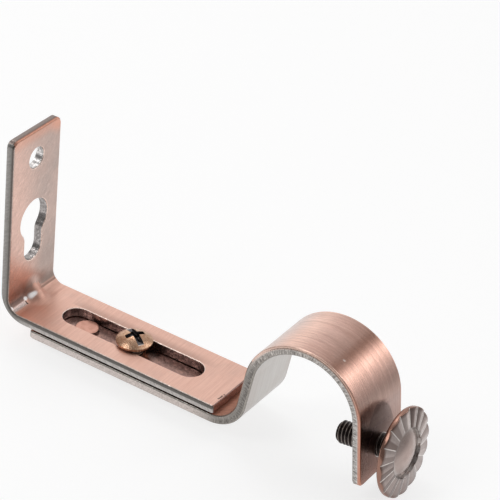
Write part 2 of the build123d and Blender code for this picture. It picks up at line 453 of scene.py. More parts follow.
def soften_chamfers(piece, normals):
    """Sets the normals, with those of the chamfers taken over from the faces beside them."""
    mesh = piece.data
    near_zero, least_width = 0.02, 0.15
    depth = np.abs(read_own(mesh)[:, 2])
    chamfers = set()
    for face in mesh.polygons:
        levels = depth[list(face.vertices)]
        low, high = levels.min(), levels.max()
        at_front = low < near_zero and least_width < high < chamfer + near_zero
        from_back = sheet - high, sheet - low
        at_back = abs(from_back[0]) < near_zero and least_width < from_back[1] < chamfer + near_zero
        if at_front or at_back:
            chamfers.add(face.index)
    beside = {}
    for face in mesh.polygons:
        if face.index not in chamfers:
            for loop in face.loop_indices:
                beside.setdefault(mesh.loops[loop].vertex_index, []).append((normals[loop], face.area))
    softened = normals.copy()
    for index in chamfers:
        face = mesh.polygons[index]
        for loop in face.loop_indices:
            around = beside.get(mesh.loops[loop].vertex_index, [])
            near = [n * area for n, area in around if n @ face.normal > 0.5]
            if near:
                total = np.sum(near, 0)
                softened[loop] = total / np.linalg.norm(total)
    mesh.normals_split_custom_set(softened)
    print(piece.name, "has", len(chamfers), "chamfer faces")


def points_mm(mesh):
    places = np.empty(len(mesh.vertices) * 3)
    mesh.vertices.foreach_get("co", places)
    return places.reshape(-1, 3) * 1000


def read_own(mesh):
    own = np.empty(len(mesh.vertices) * 3, np.float32)
    mesh.attributes["own"].data.foreach_get("vector", own)
    return own.reshape(-1, 3)


def store_own(mesh, values):
    own = mesh.attributes.new("own", "FLOAT_VECTOR", "POINT")
    own.data.foreach_set("vector", values.astype(np.float32).ravel())


def dress(piece, choose, finishes):
    """Gives each face the finish that choose(middle in mm, normal, own coordinates) names."""
    mesh = piece.data
    own = read_own(mesh)
    names = list(finishes)
    for name in names:
        mesh.materials.append(finishes[name])
    count = dict.fromkeys(names, 0)
    for face in mesh.polygons:
        name = choose(face.center * 1000, face.normal, own[list(face.vertices)].mean(0))
        face.material_index = names.index(name)
        count[name] += 1
    print(piece.name, "faces by finish:", count)


print("ready to copy")

# %% [markdown]
# ## Effects that several finishes share
#
# Antique copper is plated steel that is darkened and then brushed, so that the dark stays in the low
# places. Three effects make it: brush lines, cloudy patches of tarnish, and bare metal where an edge
# is rubbed. The cut edges of the strip also have a fine pitted grain. Each effect is a node group with
# named inputs, built once, and every finish below uses it with its own numbers.

# %% Node group helpers
def new_group(tree_kind, name, inputs, outputs):
    """An empty group, with its inputs to read from and its outputs to link to."""
    group = bpy.data.node_groups.new(name, tree_kind)
    for label, kind, value in inputs:
        socket = group.interface.new_socket(label, in_out="INPUT", socket_type="NodeSocket" + kind)
        if value is not None:
            socket.default_value = value
    for label, kind in outputs:
        group.interface.new_socket(label, in_out="OUTPUT", socket_type="NodeSocket" + kind)
    return group, node(group, "NodeGroupInput").outputs, node(group, "NodeGroupOutput").inputs


def shader_group(name, inputs, masks):
    return new_group("ShaderNodeTree", name, inputs, [(label, "Float") for label in masks])


def effect(group, inputs):
    return linked("ShaderNodeGroup", inputs, node_tree=group).outputs


# %% Brush lines
brush_lines, given, result = shader_group(
    "brush_lines",
    [
        ("Vector", "Vector", None),
        ("Turn", "Float", 0.0),
        ("Lines per mm", "Float", 2.0),
        ("Line length mm", "Float", 20.0),
    ],
    ["Fine", "Broad"],
)
turn = xyz(z=given["Turn"])
turned = node(brush_lines, "ShaderNodeMapping", {"Vector": given["Vector"], "Rotation": turn})
parts = node(brush_lines, "ShaderNodeSeparateXYZ", {0: turned.outputs[0]}).outputs
along = calc("DIVIDE", parts["X"], given["Line length mm"])
across = times(parts["Y"], given["Lines per mm"])
stretched = xyz(along, across, parts["Z"])
fine = noise(stretched, 1.0, 5.0, 0.85)
broad = noise(stretched, 0.2, 2.0)
link(fade(fine, 0.4, 0.6), result["Fine"])
link(fade(broad, 0.3, 0.7), result["Broad"])

# %% Tarnish, rubbed edges and pits
tarnish, given, result = shader_group(
    "tarnish",
    [
        ("Vector", "Vector", None),
        ("Patch mm", "Float", 10.0),
        ("Start", "Float", 0.4),
        ("End", "Float", 0.65),
    ],
    ["Patches"],
)
size = calc("DIVIDE", 1.0, given["Patch mm"])
cloud = noise(given["Vector"], size, 5.0, 0.6)
link(fade(cloud, given["Start"], given["End"]), result["Patches"])

rubbed_edge, given, result = shader_group(
    "rubbed_edge",
    [
        ("Vector", "Vector", None),
        ("Half width mm", "Float", 10.0),
        ("Rub mm", "Float", 1.0),
    ],
    ["Rubbed"],
)
parts = node(rubbed_edge, "ShaderNodeSeparateXYZ", {0: given["Vector"]}).outputs
wobble = noise(given["Vector"], 0.5, 3.0)
push = times(minus(wobble, 0.5), given["Rub mm"])
side = plus(calc("ABSOLUTE", parts["Y"]), push)
inner = minus(given["Half width mm"], given["Rub mm"])
link(fade(side, inner, given["Half width mm"]), result["Rubbed"])

pitted, given, result = shader_group(
    "pitted",
    [("Vector", "Vector", None), ("Pit mm", "Float", 0.4)],
    ["Pits", "Height"],
)
size = calc("DIVIDE", 1.0, given["Pit mm"])
grit = noise(given["Vector"], size, 4.0, 0.75)
cells = node(pitted, "ShaderNodeTexVoronoi", {"Vector": given["Vector"], "Scale": size})
height = plus(grit, times(cells.outputs["Distance"], 0.5))
link(fade(grit, 0.4, 0.6), result["Pits"])
link(height, result["Height"])
print("effects:", [group.name for group in bpy.data.node_groups])


# %% The effects in short
def brush_over(place, degrees, lines_per_mm, length_mm):
    inputs = {"Vector": place, "Turn": radians(degrees)}
    inputs.update({"Lines per mm": lines_per_mm, "Line length mm": length_mm})
    return effect(brush_lines, inputs)


def cloudy(own, patch_mm, start=0.4, end=0.65):
    return effect(tarnish, {"Vector": own, "Patch mm": patch_mm, "Start": start, "End": end})["Patches"]


def gritty(own, pit_mm):
    return effect(pitted, {"Vector": own, "Pit mm": pit_mm})


def edge_rub(own, rub_mm):
    return effect(rubbed_edge, {"Vector": own, "Rub mm": rub_mm})["Rubbed"]


print("effects have short names")

# %% [markdown]
# ## Start of a finish
#
# Every finish is plated or bare metal, so they all begin in the same way: the piece's own coordinates,
# a Principled shader with Metallic at 1, and a Bump node that takes a height. On a strip the parts X, Y
# and Z of those coordinates mean along, across and deep. A few finishes lower Metallic with a mask: at
# the white spots in the bracket's bend, which are painted highlights, and where the copper lies dull in
# the hook's bend. The bump is in fractions of a millimetre, because brush lines can be felt but hardly
# measured.

# %% Begin a material
def begin(name):
    material = bpy.data.materials.new(name)
    tree = empty_tree(material)
    own = node(tree, "ShaderNodeAttribute", attribute_name="own").outputs["Vector"]
    parts = node(tree, "ShaderNodeSeparateXYZ", {0: own}).outputs
    shader = node(tree, "ShaderNodeBsdfPrincipled", {"Metallic": 1.0})
    node(tree, "ShaderNodeOutputMaterial", {"Surface": shader.outputs[0]})
    return material, own, parts, shader


def finish(shader, colour, roughness, height, depth_mm):
    """Links a colour, a roughness and a height of depth_mm into the shader."""
    link(colour, shader.inputs["Base Color"])
    link(roughness, shader.inputs["Roughness"])
    bump = linked("ShaderNodeBump", {"Height": height, "Strength": 1.0, "Distance": depth_mm / 1000})
    link(bump.outputs[0], shader.inputs["Normal"])


copper_mid = (208, 158, 142)
copper_deep = (190, 134, 114)
copper_grey = (186, 166, 158)
smoke = (120, 98, 90)
print("copper in linear values:", [round(v, 3) for v in as_colour(copper_mid)[:3]])

# %% [markdown]
# ## Copper on the wall bracket
#
# On the upright the brush went over the strip at a slant, and on the arm it went straight across. The
# near side is salmon, and the far side is greyer. The top and its far corner are rubbed orange. Low on
# the upright, beside the bend, the near side is painted a deeper copper as a painted reflection of the
# arm, and on the arm the copper is deeper in colour near the bend. Along the slot's far side lies a
# smoky painted shadow.
#
# Inside the bend, round the dart, the colour holds painted shade and painted light: painted shade where
# the upright ends and in the hollow beside it, a polished band whose lighter colour is a painted
# highlight, painted shade and a dark painted reflection line past the dart, the painted shade of a crease
# before it, and three white spots that are painted highlights. Those spots mirror less and give a little
# light of their own, so they glow.
# The bend belongs to both the upright's finish and the arm's, so one function adds it to each.

# %% The bend
def add_bend(parts, shader, colour, rough):
    """Painted shade, painted reflections and painted highlights inside the bend, round the dart, with a
    polished band, on the inner face of the strip only.
    """
    plain_colour = colour
    inside = fade(parts["Z"], -1.4, -0.7)
    near_side = fade_out(parts["Y"], -4.6, -3.8)
    before_dart = fade_out(parts["Y"], -3.0, 2.0)
    # Painted shade where the upright ends, before the dart.
    shaded = times(band(parts["X"], 44.0, 48.4, 49.8, 50.4), before_dart)
    colour = tint(colour, shaded, 0.5, (124, 92, 82))
    # Painted shade in the hollow of the bend, on its near side.
    painted_hollow_shade = times(band(parts["X"], 48.4, 49.3, 50.0, 50.6), near_side)
    colour = tint(colour, painted_hollow_shade, 0.75, (112, 99, 95))
    # A polished band: its roughness is lowered, and its lighter colour is a painted highlight.
    polish_and_sheen = times(band(parts["X"], 49.9, 50.6, 51.2, 51.8), near_side)
    colour = tint(colour, polish_and_sheen, 0.7, (196, 190, 188))
    past_dart = fade(parts["Y"], 2.0, 4.0)
    # Painted shade over the light stripe past the dart.
    painted_shade_past_dart = times(band(parts["X"], 46.5, 48.4, 49.5, 49.9), past_dart)
    colour = tint(colour, painted_shade_past_dart, 0.45, (150, 132, 124))
    # A dark painted reflection line across the bend past the dart.
    painted_dark_reflection_line = times(band(parts["X"], 49.5, 49.75, 50.0, 50.3), past_dart)
    colour = tint(colour, painted_dark_reflection_line, 0.6, (96, 78, 70))
    # Three white spots are painted highlights: white colour, less metal and a little glow of their own.
    wear_and_glint = 0.0
    for place, radius in (((50.1, -1.8), 1.6), ((49.9, -3.7), 0.8), ((50.1, -9.7), 0.7)):
        wear_and_glint = calc("MAXIMUM", wear_and_glint, round_spot(parts, place, radius))
    wear_and_glint = times(wear_and_glint, inside)
    colour = tint(colour, wear_and_glint, 0.95, (255, 253, 252))
    # The painted shade of a crease before the dart.
    painted_crease_shade = small_patch(parts, (51.0, -4.15), 0.8, 0.28)
    colour = tint(colour, painted_crease_shade, 0.9, (30, 24, 23))
    colour = blend_colour(inside, plain_colour, colour)
    link(inverse(times(wear_and_glint, 0.8)), shader.inputs["Metallic"])
    # The glow of the painted highlight spots.
    painted_glow = blend_colour(wear_and_glint, (0, 0, 0, 1), (0.34, 0.34, 0.34, 1))
    link(painted_glow, shader.inputs["Emission Color"])
    link(1.0, shader.inputs["Emission Strength"])
    along_dart = band(parts["X"], 44.0, 46.5, 53.5, 56.0)
    dart = times(along_dart, band(parts["Y"], -3.5, -1.5, 9.0, 10.0))
    rough = plus(rough, times(dart, 0.14))
    return colour, minus(rough, times(polish_and_sheen, 0.12))


# %% Finish: upright
upright_copper, own, parts, shader = begin("upright_copper")
brush = brush_over(own, 47, 6.5, 2.4)
patches = cloudy(own, 12.0)
far_side = fade(minus(parts["Y"], times(parts["X"], 0.08)), -9.0, 4.0)
grey_share = times(far_side, scaled(patches, 0.3, 0.68))
colour = blend_colour(grey_share, (255, 216, 201), (206, 188, 180))
# Painted reflection: low on the upright, beside the bend, the near side is painted a deeper copper, as the
# arm's reflection.
low_part = fade(parts["X"], 37.0, 47.0)
near_side = fade_out(parts["Y"], -4.0, 3.0)
colour = tint(colour, times(low_part, near_side), 0.48, copper_deep)
low_far = times(fade(parts["X"], 28.0, 42.0), fade(parts["Y"], -1.0, 5.0))
colour = tint(colour, low_far, 0.26, (150, 136, 129))
colour = tint(colour, brush["Fine"], 0.3, smoke)
grain = gritty(own, 0.5)["Pits"]
colour = tint(colour, grain, 0.1, smoke)
colour = tint(colour, brush["Broad"], 0.13, (150, 118, 106))
rubbed = edge_rub(own, 0.8)
colour = tint(colour, rubbed, 0.35, (226, 176, 156))
top_rub = fade_out(parts["X"], 0.8, 4.0)
colour = tint(colour, top_rub, 0.6, (232, 172, 148))
top_corner = round_spot(parts, (1.2, 9.0), 4.5)
colour = tint(colour, top_corner, 0.6, (244, 178, 152))
rough = scaled(brush["Fine"], 0.14, 0.26)
colour, rough = add_bend(parts, shader, colour, rough)
finish(shader, colour, rough, brush["Fine"], 0.010)

# %% Finish: arm
arm_copper, own, parts, shader = begin("arm_copper")
brush = brush_over(own, 88, 3.2, 14.0)
patches = cloudy(own, 9.0, 0.45, 0.75)
near_bend = fade_out(parts["X"], 53.0, 63.0)
near_side = fade_out(parts["Y"], -6.0, 5.0)
deep_share = times(near_bend, times(near_side, 0.48))
colour = blend_colour(deep_share, (241, 198, 181), (216, 152, 127))
# Painted shadow: a smoky band along the slot's far side.
slot_shadow_band = band(parts["Y"], 3.8, 4.2, 4.6, 7.5)
slot_part = band(parts["X"], 58.0, 66.0, 98.0, 108.0)
colour = tint(colour, times(slot_shadow_band, slot_part), 0.4, smoke)
colour = tint(colour, patches, 0.25, copper_grey)
colour = tint(colour, brush["Fine"], 0.26, copper_deep)
colour = tint(colour, brush["Broad"], 0.12, copper_mid)
rough = scaled(brush["Fine"], 0.1, 0.3)
colour, rough = add_bend(parts, shader, colour, rough)
broken = cloudy(own, 0.45, 0.4, 0.52)
for place, size in (((113.9, -6.2), 0.5), ((114.0, -5.2), 0.9), ((114.1, -4.1), 0.5)):
    mark = times(small_patch(parts, place, 0.3, size), broken)
    mark = times(mark, fade(parts["Z"], -1.4, -0.7))
    colour = tint(colour, mark, 0.9, (50, 40, 37))
finish(shader, colour, rough, brush["Fine"], 0.010)
print("made", upright_copper.name, "and", arm_copper.name)

# %% [markdown]
# ## Edges, holes and the slot
#
# The strip was sheared and its holes were punched before it was plated. Shearing leaves two bands
# along an edge: a smooth one where the blade cut, which is painted dark as its reflection, and a light,
# finely pitted one where the metal tore. The walls of the holes are light and pitted, and the walls of
# the slot are browner, because no brush reaches them. The holes and the bracket's slot have a bright lip
# at the strip's face, which is a painted highlight. The strip's top edge is grey at the back, with
# rounded, rubbed copper only along its front corner.

# %% Finishes: cut metal
def cut_metal(name, main, marks, pit_mm, share, roughness, depth_mm, lip=None, main_far=None):
    """Pitted metal. It may have a bright lip at the strip's face, which is a painted highlight, and another
    colour past 14 mm.
    """
    material, own, parts, shader = begin(name)
    pits = gritty(own, pit_mm)
    if main_far:
        main = blend_colour(fade(parts["X"], 13.0, 15.0), main, main_far)
    colour = blend_colour(times(pits["Pits"], share), main, marks)
    if lip:
        colour = blend_colour(fade(parts["Z"], -0.3, -0.2), colour, lip)
    rough = plus(times(pits["Pits"], 0.2), roughness)
    finish(shader, colour, rough, pits["Height"], depth_mm)
    return material


# A painted highlight: the bright lip round the holes and the slot at the strip's face.
lip_highlight = (250, 226, 214)
dark_corner = cut_metal("dark_corner", (176, 170, 163), (108, 100, 94), 0.4, 0.5, 0.25, 0.01)
hole_wall = cut_metal(
    "hole_wall", (242, 238, 236), (84, 80, 79), 0.7, 0.62, 0.12, 0.06, lip_highlight, (184, 178, 176)
)
slot_wall = cut_metal("slot_wall", (156, 134, 128), (70, 55, 52), 0.8, 0.65, 0.22, 0.03)
slot_side = cut_metal("slot_side", (182, 168, 166), (78, 66, 66), 0.9, 0.7, 0.2, 0.03, lip_highlight)
arm_end = cut_metal("arm_end", (182, 152, 144), (112, 88, 84), 0.5, 0.6, 0.3, 0.02)
print("cut metal finishes made")

# %% Finish: the top edge
top_edge, own, parts, shader = begin("top_edge")
pits = gritty(own, 0.35)
colour = ramp(
    parts["Z"],
    [(-2.5, (196, 190, 187)), (-2.0, (156, 145, 140)), (-0.75, (142, 128, 122)), (-0.4, (228, 166, 143))],
    "LINEAR",
)
colour = tint(colour, pits["Pits"], 0.35, (112, 92, 84))
rounding = times(fade(parts["Z"], -0.9, -0.1), -10.0)
finish(shader, colour, 0.32, plus(pits["Height"], rounding), 0.03)

# %% Finish: the hook's rubbed corner
bright_corner, own, parts, shader = begin("bright_corner")
pits = gritty(own, 0.8)
colour = ramp(
    parts["X"],
    [(85.0, (246, 216, 202)), (110.0, (246, 208, 190)), (122.0, (212, 152, 130)), (141.0, (204, 144, 120))],
)
colour = tint(colour, pits["Pits"], 0.3, copper_mid)
finish(shader, colour, 0.3, pits["Height"], 0.01)

# %% [markdown]
# The two long edges of the bracket show the bands of the shear, painted in: the dark band stands for
# the reflection on the smooth cut, and a thin light line at the front corner is a painted highlight. The
# colours below are given by the depth in the sheet, from the back at -2.5 mm to the front at 0. On the
# arm the dark band ends sharply. On the upright it fades towards the back, so there are two ramps,
# blended along the strip. Fine slanted strokes run over both.
#
# The hook's edge is given along the strip instead. Past its flat part the metal is torn in dark strokes,
# mostly in the half towards the pole. On the arch the copper is wrapped over the outer corner, which is
# rounded here by the bump's height alone.

# %% Finish: sheared edge of the bracket
cut_edge, own, parts, shader = begin("cut_edge")
pits = gritty(own, 0.3)
# Painted light on the sheared edge: the dark band stands for the reflection on the smooth cut, and the light
# front corner, copper over the chamfer, is painted lighter as a highlight.
arm_bands = ramp(
    parts["Z"],
    [
        (-2.5, (206, 200, 197)), (-2.1, (224, 220, 218)), (-1.95, (212, 206, 202)),
        (-1.15, (204, 198, 194)), (-1.0, (116, 113, 109)), (-0.22, (108, 103, 100)),
        (-0.10, (240, 222, 212)), (0.0, (240, 212, 200)),
    ],
    "LINEAR",
)
upright_bands = ramp(
    parts["Z"],
    [
        (-2.5, (206, 202, 199)), (-1.9, (176, 172, 169)), (-1.4, (162, 158, 155)), (-0.8, (150, 146, 142)),
        (-0.5, (116, 111, 106)), (-0.2, (108, 98, 92)), (-0.12, (250, 236, 228)), (0.0, (250, 224, 212)),
    ],
    "LINEAR",
)
bands = blend_colour(fade(parts["X"], 50.0, 60.0), upright_bands, arm_bands)
across_edge = xyz(parts["Z"], parts["X"])
strokes = brush_over(across_edge, 35, 2.2, 3.0)["Fine"]
colour = tint(bands, pits["Pits"], 0.2, (104, 100, 98))
colour = tint(colour, strokes, 0.32, (96, 92, 88))
rough = scaled(pits["Pits"], 0.2, 0.26)
finish(shader, colour, rough, pits["Height"], 0.02)

# %% Finish: the hook's edge
hook_edge, own, parts, shader = begin("hook_edge")
pits = gritty(own, 0.3)
base = ramp(
    parts["X"],
    [
        (0.0, (228, 216, 211)), (50.0, (222, 210, 204)), (62.0, (164, 159, 153)), (82.0, (168, 163, 158)),
        (91.0, (216, 209, 203)), (141.0, (230, 226, 222)),
    ],
)
past_flat = fade(parts["X"], 56.0, 62.0)
colour = tint(base, pits["Pits"], 0.35, (92, 86, 83))
across_edge = xyz(parts["Z"], parts["X"])
strokes = brush_over(across_edge, -12, 2.8, 2.6)["Fine"]
torn_half = inverse(times(fade(parts["Z"], 1.1, 1.8), 0.6))
torn = times(strokes, torn_half, past_flat)
colour = tint(colour, torn, 0.8, (66, 60, 56))
on_arch = fade(parts["X"], 84.0, 92.0)
wrapped = times(fade(parts["Z"], 1.5, 1.85), on_arch)
wrap_stops = [(88.0, (250, 220, 206)), (112.0, (248, 210, 192)), (124.0, (206, 150, 130))]
wrap_colour = ramp(parts["X"], wrap_stops)
colour = tint(colour, wrapped, 0.9, wrap_colour)
rounding = times(fade(parts["Z"], 1.5, 2.4), on_arch, -14.0)
rough = scaled(pits["Pits"], 0.15, 0.22)
finish(shader, colour, rough, plus(pits["Height"], rounding), 0.03)
print("made", cut_edge.name, "and", hook_edge.name)

# %% [markdown]
# ## The wall bracket
#
# Each face of the copy is sorted by where it is and which way it looks, and gets its finish. A face on
# the strip's side is sheared edge, a face inside a hole is hole wall, and so on. The rest is copper.

# %% Wall bracket
bracket, bracket_normals = copy_solid("wall_bracket", "bracket_strip")
store_own(bracket.data, strip_coordinates(points_mm(bracket.data), bracket_route))


# Zones in mm. Each is a little larger than the feature it holds.
edge_zone, end_zone, top_zone = 0.6, 0.7, 2.2
round_hole_reach = 3.3
keyhole_low, keyhole_high, keyhole_reach = -32.0, -12.0, 6.2
slot_start, slot_end, slot_reach = 13.5, 58.6, 4.2
upright_low, upright_front = -39.0, 3.0


def bracket_finish(middle, normal, own):
    x, y, z = middle
    if abs(normal.y) > 0.5 and abs(y) > half_width - edge_zone:
        return "edge"
    in_round_hole = sqrt(y * y + z * z) < round_hole_reach
    in_keyhole = abs(y) < keyhole_reach and keyhole_low < z < keyhole_high
    if (in_round_hole or in_keyhole) and abs(normal.x) < 0.9 and x < sheet + 0.01:
        return "hole"
    if slot_start < x < slot_end and abs(y) < slot_reach and abs(normal.z) < 0.95:
        return "slot"
    if x > arm_length - end_zone and normal.x > 0.4:
        return "end"
    if z > upright_top - top_zone and (normal.z > 0.3 or abs(normal.y) > 0.3):
        return "top"
    return "upright" if z > upright_low or x < upright_front else "arm"


bracket_looks = {"upright": upright_copper, "arm": arm_copper, "edge": cut_edge, "top": top_edge}
bracket_looks.update({"hole": hole_wall, "slot": slot_side, "end": arm_end})
dress(bracket, bracket_finish, bracket_looks)
soften_chamfers(bracket, bracket_normals)
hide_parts("wall_bracket")
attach(bracket, "wall_bracket")

# %% [markdown]
# ## Copper on the pole hook
#
# The hook was brushed along its length, so its lines run up the riser and over the saddle. Most of its
# light and dark bands are the room, mirrored in the arch, and the colours below paint the same bands in
# more mildly, as painted reflections: paler at the left shoulder, salmon on top, a dark and a bright line
# on the arch, greyer towards the tab. A small white spot on the arch is a painted highlight. On the tab,
# a dark round place is a painted reflection of the thumb screw's head, a light ring round the hole is a
# painted highlight, and the tab is duller near its hole. The flat part lies in the shade under the
# slot, pitted and dark, and only towards the riser is it brushed again; before the boss, light is painted
# in on it. Where it starts to bend it is dull, so it mirrors less, and its colour is lifted as painted
# light.

# %% Finish: hook
hook_length = hook_route[-1, 0]
tab_hole_at = hook_length - 7.3
flat_end = 56.5
hook_copper, own, parts, shader = begin("hook_copper")
brush = brush_over(own, 0, 10.0, 4.0)
patches = cloudy(own, 8.0, 0.4, 0.7)
# Painted reflections: the stops copy the bands the room draws in the arch, a dark line near 109 mm and a bright
# one near 113 mm; near 57 to 61 mm light is painted in where the start of the bend lies in shade.
bands = ramp(
    parts["X"],
    [
        (0.0, (200, 150, 130)), (57.0, (240, 176, 150)), (61.0, (244, 182, 156)), (68.0, (222, 172, 152)),
        (78.0, (226, 200, 188)), (90.0, (242, 218, 208)), (98.0, (252, 210, 192)),
        (103.0, (238, 196, 181)), (107.3, (218, 176, 161)), (109.3, (200, 152, 134)),
        (113.0, (250, 202, 184)), (117.0, (222, 182, 168)), (120.5, (232, 196, 182)),
        (124.0, (196, 168, 159)), (130.0, (184, 152, 141)), (141.2, (160, 117, 103)),
    ],
)
colour = tint(bands, brush["Fine"], 0.36, smoke)
colour = tint(colour, brush["Broad"], 0.2, (140, 96, 80))
# A painted highlight: a small white spot on the arch.
colour = tint(colour, round_spot(parts, (109.4, -5.0), 0.5), 0.8, (255, 240, 232))
colour = tint(colour, patches, 0.15, copper_grey)
rubbed = edge_rub(own, 0.9)
past_flat = fade(parts["X"], 57.0, 62.0)
rub_colour = ramp(parts["X"], [(100.0, (248, 214, 199)), (120.0, (226, 168, 146))])
colour = tint(colour, times(rubbed, past_flat), 0.7, rub_colour)
from_hole = away_from(parts, (tab_hole_at, 0.0))
# A painted reflection of the thumb screw's head: a dark round place on the tab, rounded at the top like the
# head.
narrowed = {"X": parts["X"], "Y": times(parts["Y"], 1.75)}
head_reflection = fade_out(away_from(narrowed, (134.5, -1.6)), 12.4, 13.3)
head_reflection = times(head_reflection, fade_out(parts["X"], 127.0, 135.0))
colour = tint(colour, head_reflection, 0.66, (104, 84, 78))
# A painted highlight: a light ring round the tab's hole.
hole_rim_highlight = band(from_hole, 2.95, 3.05, 3.2, 3.35)
colour = tint(colour, hole_rim_highlight, 0.8, (236, 230, 226))
tab_polish = times(fade(parts["X"], 118.0, 124.0), -0.07)
near_hole = fade_out(from_hole, 5.0, 9.0)
rough = plus(times(brush["Fine"], 0.06), 0.21, tab_polish)
rough = plus(rough, times(near_hole, 0.16))
dull = band(parts["X"], flat_end, 59.0, 64.0, 70.0)
link(inverse(times(dull, 0.82)), shader.inputs["Metallic"])
finish(shader, colour, rough, brush["Fine"], 0.004)

# %% Finish: under the slot, and the pole's side
screw_at, boss_at = clamp_place - hook_start, boss_place - hook_start
hook_flat, own, parts, shader = begin("hook_flat")
patches = cloudy(own, 2.5, 0.5, 0.66)
pits = gritty(own, 0.8)
colour = tint((172, 138, 129), pits["Pits"], 0.5, (98, 75, 70))
near_side = fade_out(parts["Y"], -2.6, -0.4)
colour = tint(colour, near_side, 0.7, (220, 182, 168))
colour = tint(colour, patches, 0.4, (212, 166, 148))
brush = brush_over(own, 0, 4.0, 16.0)
brushed_copper = tint((230, 176, 152), brush["Fine"], 0.3, smoke)
colour = blend_colour(fade(parts["X"], 44.0, 51.0), colour, brushed_copper)
# Painted light on the floor before the boss, where it lies in shade.
painted_light_before_boss = fade_out(parts["X"], boss_at - 3.3, boss_at - 1.3)
colour = tint(colour, painted_light_before_boss, 0.6, (236, 196, 184))
from_screw = away_from(parts, (screw_at, 0.0))
hatch = brush_over(own, 65, 1.6, 3.0)["Fine"]
worn_ring = times(band(from_screw, 2.4, 2.7, 4.2, 4.8), hatch)
colour = tint(colour, worn_ring, 0.6, (216, 206, 200))
finish(shader, colour, 0.26, pits["Height"], 0.015)

pole_side, own, parts, shader = begin("pole_side")
brush = brush_over(own, 0, 1.6, 30.0)
patches = cloudy(own, 12.0)
colour = tint((206, 202, 198), brush["Fine"], 0.18, (150, 138, 132))
colour = tint(colour, patches, 0.2, (180, 160, 150))
finish(shader, colour, 0.3, brush["Fine"], 0.006)

boss_copper, own, parts, shader = begin("boss_copper")
patches = cloudy(own, 1.8, 0.42, 0.6)
colour = tint((222, 168, 150), patches, 0.35, (180, 124, 104))
finish(shader, colour, 0.3, patches, 0.01)
print("made", hook_copper.name, hook_flat.name, pole_side.name, boss_copper.name)

# %% [markdown]
# ## The pole hook
#
# Here the sorting uses the strip's own depth: 0 is the side that meets the pole, and 2.5 mm is the
# outside. The boss that was pushed up out of the strip runs in the slot, and its top is rubbed bright.

# %% Pole hook
hook, hook_normals = copy_solid("pole_hook", "hook_strip")
store_own(hook.data, strip_coordinates(points_mm(hook.data), hook_route))
# Places along the hook and reaches across it, in mm. A pocket was left under the boss.
arch_start, tab_start = 86, 125
strip_end_zone = 1.6
boss_reach, pocket_reach, screw_hole_reach, tab_hole_reach = 3.6, 3.3, 2.8, 3.2


def hook_finish(middle, normal, own):
    x, y, _ = middle
    along, _, depth = own
    if abs(normal.y) > 0.5 and abs(y) > half_width - edge_zone:
        if abs(normal.y) > 0.9:
            return "edge"
        return "bright" if along > arch_start and depth > 1.2 else "corner"
    at_start = along < strip_end_zone and normal.x < -0.3
    if at_start or along > hook_length - strip_end_zone and normal.z < -0.3:
        return "edge"
    from_boss = sqrt((x - boss_place) ** 2 + y * y)
    from_clamp = sqrt((x - clamp_place) ** 2 + y * y)
    inside_sheet = 0.01 < depth < sheet - 0.01
    if along < flat_end and from_boss < boss_reach and depth > sheet + 0.05:
        return "boss" if normal.z > 0.6 else "slot"
    if along < flat_end and (from_boss < pocket_reach or from_clamp < screw_hole_reach) and inside_sheet:
        return "slot"
    if along > tab_start and abs(y) < tab_hole_reach and inside_sheet and abs(normal.x) < 0.9:
        return "slot"
    if depth < sheet / 2:
        return "pole_side"
    return "flat" if along < flat_end else "copper"


hook_looks = {"copper": hook_copper, "flat": hook_flat, "pole_side": pole_side, "edge": hook_edge}
hook_looks.update({"corner": dark_corner, "bright": bright_corner, "boss": boss_copper, "slot": slot_wall})
dress(hook, hook_finish, hook_looks)
soften_chamfers(hook, hook_normals)
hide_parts("pole_hook")
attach(hook, "pole_hook")

# %% [markdown]
# ## Screw threads in Geometry Nodes
#
# A thread is one ridge that winds round a core, so it follows a rule: every point moves by one pitch
# for each turn. It could be made with the Screw modifier, but then its ends stay open. In Geometry
# Nodes a long narrow grid is wound into the helix instead. The grid's X is the way across one ridge,
# and its Y is the way along the wire. Points beyond an end are drawn in to the core's rim, so that
# they merge with a round cap and the thread is closed. Both screws use the same tree.

# %% Geometry node helpers
def geometry_group(name, inputs):
    return new_group("GeometryNodeTree", name, inputs, [("Geometry", "Geometry")])


def grow(name, base_mesh, group, values):
    """Runs a geometry group on an object with these input values, and keeps the result as a plain mesh."""
    piece = add_object(name, base_mesh)
    modifier = piece.modifiers.new(group.name, "NODES")
    modifier.node_group = group
    for item in group.interface.items_tree:
        if item.item_type == "SOCKET" and item.in_out == "INPUT" and item.name in values:
            modifier[item.identifier] = values[item.name]
    plain = bpy.data.meshes.new_from_object(piece.evaluated_get(bpy.context.evaluated_depsgraph_get()))
    piece.modifiers.clear()
    plain.name = name
    piece.data = plain
    return piece


# %% The thread's tree
thread, given, result = geometry_group(
    "screw_thread",
    [
        ("Length", "Float", 0.01),
        ("Crest radius", "Float", 0.003),
        ("Pitch", "Float", 0.001),
        ("Depth", "Float", 0.0006),
        ("Sides", "Int", 40),
        ("Finish", "Material", None),
    ],
)
turns = plus(calc("CEIL", calc("DIVIDE", given["Length"], given["Pitch"])), 2.0)
rows = plus(times(turns, given["Sides"]), 1.0)
grid_size = {"Size X": 1.0, "Size Y": 1.0, "Vertices X": 7, "Vertices Y": rows}
grid = node(thread, "GeometryNodeMeshGrid", grid_size)
place = node(thread, "ShaderNodeSeparateXYZ", {0: node(thread, "GeometryNodeInputPosition").outputs[0]})
over_ridge = plus(place.outputs["X"], 0.5)
along_wire = plus(place.outputs["Y"], 0.5)
ridge_points = node(thread, "ShaderNodeFloatCurve", {"Value": over_ridge})
curve = ridge_points.mapping.curves[0]
for column, share in ((1 / 6, 0.12), (1 / 3, 0.40), (1 / 2, 0.5), (2 / 3, 0.60), (5 / 6, 0.88)):
    curve.points.new(column, share)
for point in curve.points:
    point.handle_type = "VECTOR"
ridge_points.mapping.update()
from_crest = calc("ABSOLUTE", place.outputs["X"])
